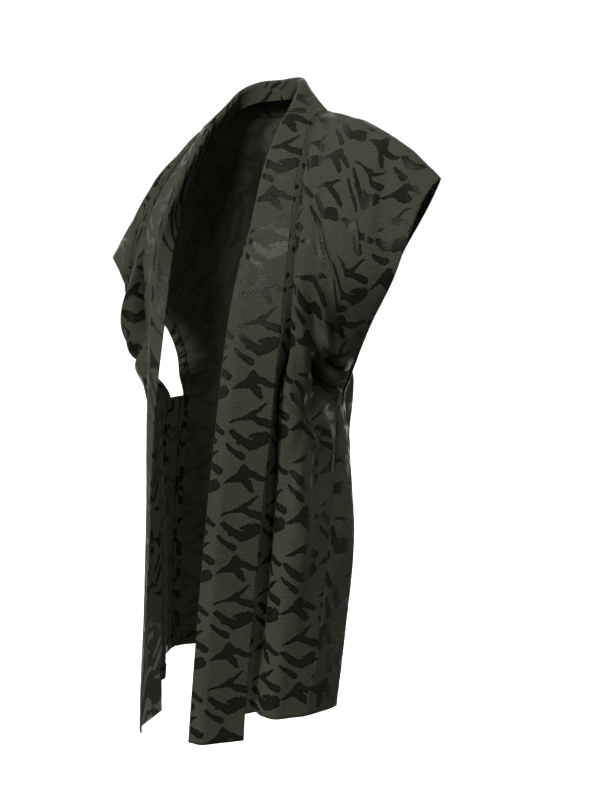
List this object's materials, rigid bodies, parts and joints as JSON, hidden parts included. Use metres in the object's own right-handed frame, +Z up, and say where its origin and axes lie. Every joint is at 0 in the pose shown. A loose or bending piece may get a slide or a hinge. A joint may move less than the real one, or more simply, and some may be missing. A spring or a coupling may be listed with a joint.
{
  "type": "jinbaori",
  "caption": "Sleeveless open-front coat with cap shoulders, side gussets and a long folded collar band, shown hollow in its worn shape.",
  "frame": {"origin": "middle of the neck at the level of the shoulders, where the wearer carries the coat", "axes": "+Z up, -Y the way the wearer faces, +X the wearer's left"},
  "size_m": [0.5789, 0.337, 0.9575],
  "materials": {
    "jacquard": "dark grey-green jacquard with a near-black camouflage figure, low satin sheen"
  },
  "bodies": {
    "root": {"body_left": "jacquard", "body_right": "jacquard", "gusset_left": "jacquard", "gusset_right": "jacquard", "collar_left": "jacquard", "collar_back": "jacquard", "collar_right": "jacquard"}
  },
  "joints": []
}
